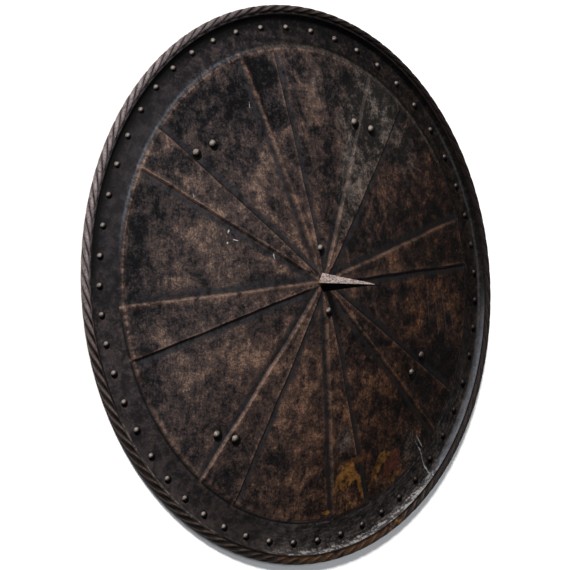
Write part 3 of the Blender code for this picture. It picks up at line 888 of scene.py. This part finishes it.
# how warm the iron's colour is, how bare it is, and where it is scoured grey
warm = 0.44 + 1.05 * (0.88 * x - 0.48 * y) / SHIELD_RADIUS
warm += hoop(86, BEYOND_RIM, 1) * sectors((30, 112, 14, 0.30))
worn = 0.45 + 0.52 * placed(x, y, WORN_PLACES) - 0.80 * placed(x, y, KEPT_PLACES)
worn += sectors((245, 305, 20, 0.06), (-50, 75, 20, -0.07))
worn += hoop(-100, 8.8, 22) * sectors((-38, 12, 12, 0.13), (52, 132, 14, 0.13))
worn += hoop(32, 48, 6) * sectors((18, 45, 8, -0.09), (226, 256, 10, -0.06))
worn += hoop(52, 66, 6) * sectors((106, 134, 10, -0.05), (226, 256, 10, -0.08))
worn += hoop(70, 82, 5) * sectors((258, 312, 12, 0.08))
worn += hoop(78, BEYOND_RIM, 6) * sectors((120, 235, 18, -0.05))
grey_rib = hoop(35, BEYOND_RIM, 25) * hoop(-100, 84, 2) * sectors((49, 63, 4, 0.6))
mark(plate, "warm", warm)
mark(plate, "worn", np.where(face > 0, worn, 0.30))
mark(plate, "grey", (placed(x, y, GREY_PLACES) + grey_rib) * face)

# the border and the upturned wall
wall = np.clip((radius - WALL_BASE_RADIUS + 0.0005) / 0.003, 0, 1) * (radius < WALL_TOP_RADIUS)
scuffs = hoop(96.5, BEYOND_RIM, 2) * sectors((264, 308, 10, 1.0)) + sectors((262, 330, 10, 0.12))
# painted shade on the border next to the wall at the upper left, where the rim's shadow falls, and a darker
# band next to the wall at the right
corner = sectors((70, 160, 12, 0.65)) + sectors((312, 345, 10, 0.45)) * (1 - wall)
corner *= hoop(93, BEYOND_RIM, 2.5)
# the painted shadow of the rope on the border just inside it, at the upper left
rope_shadow = hoop(93, BEYOND_RIM, 1.2) * sectors((100, 172, 10, 0.95)) * (z < CREST_BASE)
mark(plate, "border", np.clip((radius - FIELD_RADIUS - 0.0004) / 0.0012, 0.0, 1.0) * face)
mark(plate, "faded", sectors(
    (150, 195, 14, 0.10), (195, 258, 12, 0.40), (264, 296, 12, 0.35), (300, 345, 8, 0.20),
))
mark(plate, "rubbed", 0.12 + sectors((0, 118, 12, 0.30), (186, 262, 14, 0.32), (276, 350, 8, 0.40)))
mark(plate, "scuffed", scuffs * face)
# a painted highlight on the wall's inner face at the lower right, where the lamp's reflection falls
mark(plate, "painted_sheen", wall * sectors((268, 302, 8, 0.4), (316, 344, 14, 0.85)) * face)
# the wall's inner face: black at the upper left as painted shade, and darker at the right
mark(plate, "darkened_wall", wall * sectors((100, 200, 14, 0.85), (366, 425, 16, 0.66)) * face)
mark(plate, "corner", np.maximum(corner, rope_shadow) * face)

# the rope
gap = thin_ring(ROPE_FOOT_RADIUS, 0.0011) * (z > 0.0045)
inner_crest = (radius > 0.2798) * (radius < 0.2826) * (z > CREST_BASE)
mark(plate, "rusty", sectors((264, 292, 8, 0.20), (294.5, 296.5, 2.5, 0.85)))
# the rope is lighter where it faces the lamp at the upper left: a painted highlight
mark(plate, "lit_rope_side", sectors((88, 104, 12, 0.3), (112, 172, 20, 1.0), (172, 200, 16, 0.25)))
mark(plate, "dull", np.maximum(
    sectors((312, 425, 12, 1.0)), sectors((60, 110, 12, 0.30), (256, 312, 12, 0.45)),
))
mark(plate, "clogged", sectors((60, 106, 10, 0.6), (192, 300, 12, 1.0)))
# dirt in the groove at the rope's foot, and painted shade on the rope's inner crest at the upper left
mark(plate, "grime_and_shade", np.maximum(gap, inner_crest * sectors((104, 200, 10, 0.8))))
mark(plate, "lip", inner_crest * sectors((208, 240, 4, 0.8)))

# the step: a painted highlight in blue-grey along its face on the lamp's side, black painted shade below it
# on the far side and in a band just outside it at the upper right, worn metal along its arris, and a thin
# light line at the wall's foot
step_lit = thin_ring(0.2472, 0.0018, 1.3)
step_lit *= sectors((34, 66, 12, 0.24), (78, 160, 12, 0.28), (112, 160, 12, 0.24))
base_line = thin_ring(0.2766, 0.0012) * sectors((352, 388, 14, 0.24))
step_worn = thin_ring(FIELD_RADIUS, 0.0022)
step_worn *= 0.15 + sectors((60, 150, 10, 0.6), (150, 262, 14, 0.65), (266, 328, 8, 0.4))
# painted shade below the step where it faces away from the lamp, and in a band just outside it at the upper
# right
step_shade = thin_ring(0.2474, 0.0014, 1.2) * sectors((188, 264, 10, 1.0), (300, 372, 14, 0.8))
step_shade += thin_ring(0.2512, 0.0020, 1.2) * sectors((22, 80, 12, 0.8))
mark(plate, "steel", (step_lit + base_line) * face)
mark(plate, "cold", np.where(share > 0.9, 1.0, sectors((108, 170, 14, 1.0))))
mark(plate, "arris", np.maximum(marks(plate, "arris"), step_worn * face))
mark(plate, "foot", np.maximum(marks(plate, "foot"), step_shade * face))
blackened_iron(plate_iron)
rope_iron(roped_iron)
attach(plate, "root")
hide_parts("shield_plate")

# The 52 border rivets: small domed iron heads round the foot of the upturned wall, set by hand and so
# not quite evenly. They once held a lining's edge. Each is filed, rubbed and tilted a little differently.
BORDER_RIVETS = 52
BORDER_RIVET = (0.0032, 0.0026)
BORDER_RIVET_SINK = 0.0007
RIVETS_FROM_WALL = 0.0094
FIRST_RIVET_ANGLE = 9.5
DRIFT_DEGREES = ((1, 1.90, 150), (2, 1.21, 229), (3, 0.35, 203), (6, 0.50, 206))
DRIFT_METRES = ((1, 0.0009, 339), (3, 0.0015, 325), (6, 0.0008, 310))
DOME_SECTION = (
    (0.0, 1.0), (0.34, 0.95), (0.62, 0.80), (0.84, 0.55), (0.96, 0.28), (1.0, 0.16), (1.03, 0.14),
    (1.25, 0.12),
)
COLLAR_REACH = DOME_SECTION[-1][0]
# the dark collar is pushed out away from the lamp as a painted shadow, and the head is made lighter towards
# the lamp as a painted highlight
COLLAR_SHADOW_DRIFT = Vector((0.0013, -0.0012, 0.0))
LAMP_SIDE = Vector((-0.62, 0.78, 0.0))
LAMP_SIDE_TILT = 0.78
CROWN_BASE = 0.36
CROWN_RISE = 0.24
CROWN_SHARE = 0.95
# the heads are duller on the rivets towards the right
DIMMING = 0.38
HEAD_FOOT = 0.15
DIMMED_SIDE = Vector((math.cos(math.radians(-20)), math.sin(math.radians(-20)), 0.0))
RIVET_COLUMNS = 16


def drift(terms, even):
    """How far a rivet strays from its even place."""
    return sum(size * math.cos(waves * even - math.radians(phase)) for waves, size, phase in terms)


def dome(name, size, below):
    """A round head: its section drawn from the pole down, then spun; below is what it stands on or holds."""
    radius, height = size
    section = [(radius * across, height * up) for across, up in DOME_SECTION] + list(below)
    made = turned(name, section, RIVET_COLUMNS)
    face_out(made)
    bpy.ops.object.shade_smooth_by_angle(angle=math.radians(50))
    return made


def set_rivet(made, size, place, normal, spin, dent):
    """Stand a rivet on the plate at a place, square to it, its head a little out of round.

    Its head is rubbed light on top and lighter still towards the lamp, a painted highlight, and its dark
    collar reaches out on the far side, a painted shadow.
    """
    radius, height = size
    shape = places(made)
    stance = normal.to_track_quat("Z", "Y").to_matrix() @ Matrix.Rotation(spin, 3, "Z")
    lamp_side = stance.transposed() @ LAMP_SIDE
    crown_wear_and_light = CROWN_BASE + CROWN_RISE * shape[:, 2] / height
    crown_wear_and_light += LAMP_SIDE_TILT * (shape @ np.array(lamp_side)) / radius
    crown_wear_and_light *= CROWN_SHARE - DIMMING * max(0.0, place.dot(DIMMED_SIDE)) / SHIELD_RADIUS
    mark(made, "crown_wear_and_light", np.where(shape[:, 2] > HEAD_FOOT * height, crown_wear_and_light, 0.0))
    collar = (np.hypot(shape[:, 0], shape[:, 1]) > 1.2 * radius) & (shape[:, 2] > -0.001)
    shape[collar] += np.array(stance.transposed() @ COLLAR_SHADOW_DRIFT) * radius / BORDER_RIVET[0]
    for i in np.nonzero(shape[:, 2] > 0)[0]:
        at = Vector(shape[i]) * 420 + Vector((spin * 9.1, dent, 0))
        shape[i, :2] *= 1 + 0.10 * noise.noise(at)
        shape[i, 2] *= 1 + 0.12 * noise.noise(at + Vector((5, 5, 5)))
    put(made, shape)
    made.matrix_world = Matrix.Translation(place) @ stance.to_4x4()
    only(made)
    bpy.ops.object.transform_apply(location=True, rotation=True, scale=True)


def rivet_steel(material, light, dark, rust):
    """Forged steel: light where the head is rubbed and towards the lamp, a painted highlight, black where the
    head meets the plate, as dirt and as painted shade on the side away from the lamp, rust in the pits.
    """
    tree, made, at = shader(material)
    speck = clouds(tree, at, 700.0, 4.0, 0.75)
    patch = clouds(tree, at, 190.0, 4.0, 0.6)
    crown_wear_and_light = plus(tree, centred(tree, speck), 0.7, marked(tree, "crown_wear_and_light"))
    ground = blend(tree, rising(tree, crown_wear_and_light, 0.40, 0.66), dark, rust)
    ground = blend(tree, rising(tree, crown_wear_and_light, 0.62, 0.92), ground, light)
    ground = blend(tree, rising(tree, patch, 0.58, 0.68, 0.0, 0.6), ground, rust)
    shine = rising(tree, crown_wear_and_light, 0.6, 0.9, 0.0, 0.35)
    dressed(tree, made, ground, shine, rising(tree, patch, 0.3, 0.7, 0.40, 0.58), 0.05, speck, 0.0005)


border_steel = bpy.data.materials.new("border_rivet_steel")
rivet_steel(border_steel, "6f6965", "050404", "2b2422")
small = dome("border_rivet", BORDER_RIVET, [
    (BORDER_RIVET[0] * COLLAR_REACH, -BORDER_RIVET_SINK), (0.0, -BORDER_RIVET_SINK),
])
small.data.materials.append(border_steel)
for i in range(BORDER_RIVETS):
    even = math.tau * i / BORDER_RIVETS
    angle = even + math.radians(FIRST_RIVET_ANGLE + drift(DRIFT_DEGREES, even))
    r = WALL_BASE_RADIUS - RIVETS_FROM_WALL + drift(DRIFT_METRES, even)
    lift = float(border_height(r))
    fall = (float(border_height(r + 0.001)) - float(border_height(r - 0.001))) / 0.002
    outward = Vector((math.cos(angle), math.sin(angle), 0.0))
    rivet = small.copy()
    rivet.data = small.data.copy()
    rivet.name = f"border_rivet_{i + 1:02d}"
    bpy.context.collection.objects.link(rivet)
    place = outward * r + Vector((0, 0, lift))
    normal = Vector((0, 0, 1)) - outward * fall
    set_rivet(rivet, BORDER_RIVET, place, normal, 2.4 * i, float(i))
    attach(rivet, "root")
bpy.data.objects.remove(small)

# The strap rivets and the two centre rivets: larger domed heads with a shank through the plate, riveted
# Their heads are steel, rubbed light on top and lighter towards the lamp, a painted highlight.
SHANK_RADIUS = 0.0022
TAIL_RADIUS = 0.0035
TAIL_THICKNESS = 0.0014
STRAP_RIVET = (0.0043, 0.0033)
CENTRE_RIVET = (0.0037, 0.0028)

plate_steel = bpy.data.materials.new("plate_rivet_steel")
rivet_steel(plate_steel, "77706b", "060505", "332a26")


def whole_rivet(node, size):
    """A rivet in its node's place: its head's foot, its shank and its tail follow the node's own points."""
    points = np.array([v.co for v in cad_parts[node].data.vertices])
    middle = points.mean(axis=0)
    r = math.hypot(middle[0], middle[1])
    slope = (float(field_height(r + 0.002)) - float(field_height(r - 0.002))) / 0.004
    outward = Vector((middle[0] / r, middle[1] / r, 0.0))
    normal = (Vector((0, 0, 1)) - outward * slope).normalized()
    along = points @ np.array(normal)
    top, bottom = along.max(), along.min()
    across = points - np.outer(along, np.array(normal))
    high = np.nonzero(along > top - 1e-5)[0]
    axis = across[high].mean(axis=0)
    radius, height = size
    foot = top - height
    tail_top = bottom + TAIL_THICKNESS
    below = [
        (radius * COLLAR_REACH, -0.00005), (SHANK_RADIUS, -0.00005), (SHANK_RADIUS, tail_top - foot),
        (TAIL_RADIUS * 0.94, tail_top - foot), (TAIL_RADIUS, (tail_top + bottom) / 2 - foot),
        (TAIL_RADIUS * 0.9, bottom - foot), (0.0, bottom - foot),
    ]
    made = dome(node + "_forged", size, below)
    set_rivet(made, size, Vector(axis) + normal * foot, normal, middle[0] * 40, middle[1] * 50)
    made.data.materials.append(plate_steel)
    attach(made, "root")
    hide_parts(node)


for i in range(8):
    whole_rivet(f"strap_rivet_{i + 1}", STRAP_RIVET)
for i in range(2):
    whole_rivet(f"centre_rivet_{i + 1}", CENTRE_RIVET)

# The spike: a four-sided steel point, forged with a lean and a slightly hooked tip. Its tang goes through
# the middle of the plate and is riveted over behind.
SPIKE_LENGTH = 0.079
SPIKE_HALF_WIDTH = 0.00985
SPIKE_HALF_THICKNESS = 0.0065
SPIKE_LEAN = math.tan(math.radians(4.2))
TIP_BEND = 0.0012
WORN_CORNER = 0.00035
SPIKE_MARKS = ((260, 0.00022), (800, 0.00012))
BEND_START = 0.80
SPIKE_SECTIONS = (
    (0.0, 1.0), (0.06, 0.945), (0.13, 0.87), (0.22, 0.775), (0.33, 0.665), (0.45, 0.545), (0.57, 0.430),
    (0.69, 0.320), (0.80, 0.220), (0.88, 0.155), (0.94, 0.105), (1.0, 0.045),
)
CLEARANCE = 0.0003
TANG_RADIUS = 0.0030
TANG_TAIL_RADIUS = 0.0055
TANG_TAIL_THICKNESS = 0.0016

seat = APEX_HEIGHT + CLEARANCE
bpy.ops.object.select_all(action="DESELECT")
bpy.ops.mesh.primitive_circle_add(vertices=4, radius=1, location=(0, 0, 0), fill_type="NOTHING")
spike = bpy.context.object
spike.name = "forged_spike"
bpy.ops.object.mode_set(mode="EDIT")
bpy.ops.mesh.select_all(action="SELECT")
bpy.ops.transform.resize(value=(SPIKE_HALF_THICKNESS, SPIKE_HALF_WIDTH, 1), center_override=(0, 0, 0))
bpy.ops.transform.translate(value=(0, 0, seat))
for (at, wide), (next_at, next_wide) in zip(SPIKE_SECTIONS, SPIKE_SECTIONS[1:]):
    rise = (next_at - at) * SPIKE_LENGTH
    bent = max(0.0, next_at - BEND_START) / (1 - BEND_START)
    was_bent = max(0.0, at - BEND_START) / (1 - BEND_START)
    middle = -SPIKE_LEAN * at * SPIKE_LENGTH - TIP_BEND * was_bent**2
    shift = -SPIKE_LEAN * rise - TIP_BEND * (bent**2 - was_bent**2)
    bpy.ops.mesh.extrude_edges_move(TRANSFORM_OT_translate={"value": (0, 0, rise)})
    grow = next_wide / wide
    bpy.ops.transform.resize(value=(grow, grow, 1), center_override=(0, middle, 0))
    bpy.ops.transform.translate(value=(0, shift, 0))
bpy.ops.mesh.edge_face_add()
bpy.ops.object.mode_set(mode="OBJECT")
for edge in spike.data.edges:
    a, b = (spike.data.vertices[v].co for v in edge.vertices)
    edge.select = abs(a.z - seat) < MERGE_REACH and abs(b.z - seat) < MERGE_REACH
for corner in spike.data.vertices:
    corner.select = abs(corner.co.z - seat) < MERGE_REACH
bpy.ops.object.mode_set(mode="EDIT")
bpy.ops.mesh.select_mode(type="EDGE")
bpy.ops.mesh.edge_face_add()
face_out(spike)
bevel = spike.modifiers.new("worn_corners", "BEVEL")
bevel.width = WORN_CORNER
bevel.segments = 2
bevel.angle_limit = math.radians(30)
bpy.ops.object.modifier_apply(modifier=bevel.name)
bpy.ops.object.mode_set(mode="EDIT")
bpy.ops.mesh.select_all(action="SELECT")
bpy.ops.mesh.subdivide(number_cuts=4)
bpy.ops.mesh.remove_doubles(threshold=MERGE_REACH)
bpy.ops.object.mode_set(mode="OBJECT")
forged = places(spike)
for i, at in enumerate(forged):
    out = Vector((at[0], at[1] + SPIKE_LEAN * (at[2] - seat), 0.0))
    if at[2] > seat + 0.0004:
        deep = sum(size * noise.noise(Vector(at) * often) for often, size in SPIKE_MARKS)
        forged[i, :2] += np.array(out.normalized()[:2]) * deep
put(spike, forged)
tail = APEX_HEIGHT - WALL - CLEARANCE
tang = turned("spike_tang", [
    (0.0, seat + 0.0005), (TANG_RADIUS, seat + 0.0005), (TANG_RADIUS, tail),
    (TANG_TAIL_RADIUS * 0.95, tail), (TANG_TAIL_RADIUS, tail - TANG_TAIL_THICKNESS / 2),
    (TANG_TAIL_RADIUS * 0.88, tail - TANG_TAIL_THICKNESS), (0.0, tail - TANG_TAIL_THICKNESS),
], RIVET_COLUMNS)
face_out(tang)
only(spike)
tang.select_set(True)
bpy.ops.object.join()
bpy.ops.object.shade_smooth_by_angle(angle=math.radians(32))


def spike_steel(material):
    """Grey forged steel, pitted and dull on the rubbed faces, and black on its lower faces, away from the
    lamp, as painted shade.
    """
    tree, made, at = shader(material)
    patch = clouds(tree, at, 130.0, 5.0, 0.65)
    speck = clouds(tree, at, 620.0, 5.0, 0.78)
    ground = blend(tree, rising(tree, speck, 0.40, 0.58), "483f3d", "aa9c98")
    ground = blend(tree, rising(tree, patch, 0.52, 0.66, 0.0, 0.6), ground, "4b3d37")
    # painted shade: the lower faces are turned black
    black = rising(tree, plus(tree, centred(tree, patch), 0.5, marked(tree, "grime_and_shade")), 0.35, 0.6)
    ground = blend(tree, black, ground, "040303")
    ground = blend(tree, marked(tree, "ochre"), ground, "6e5228")
    shine = plus(tree, black, -0.2, 0.2)
    dressed(tree, made, ground, shine, rising(tree, speck, 0.3, 0.7, 0.40, 0.60), 0.03, speck, 0.0009)


forged = places(spike)
centre_y = -SPIKE_LEAN * (forged[:, 2] - seat)
# the faces below the spike's ridge, away from the lamp, are marked for painted shade; the tang below the seat
# gets part of it
shade = np.where(forged[:, 1] < centre_y - 0.0002, 1.0, 0.0)
mark(spike, "grime_and_shade", np.where(forged[:, 2] > seat - 0.001, shade, 0.6))
mark(spike, "ochre", np.clip(1 - (forged[:, 2] - seat) / 0.004, 0, 0.7) * (forged[:, 0] < -0.004))
point_steel = bpy.data.materials.new("spike_steel")
spike_steel(point_steel)
spike.data.materials.append(point_steel)
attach(spike, "root")
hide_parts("spike")
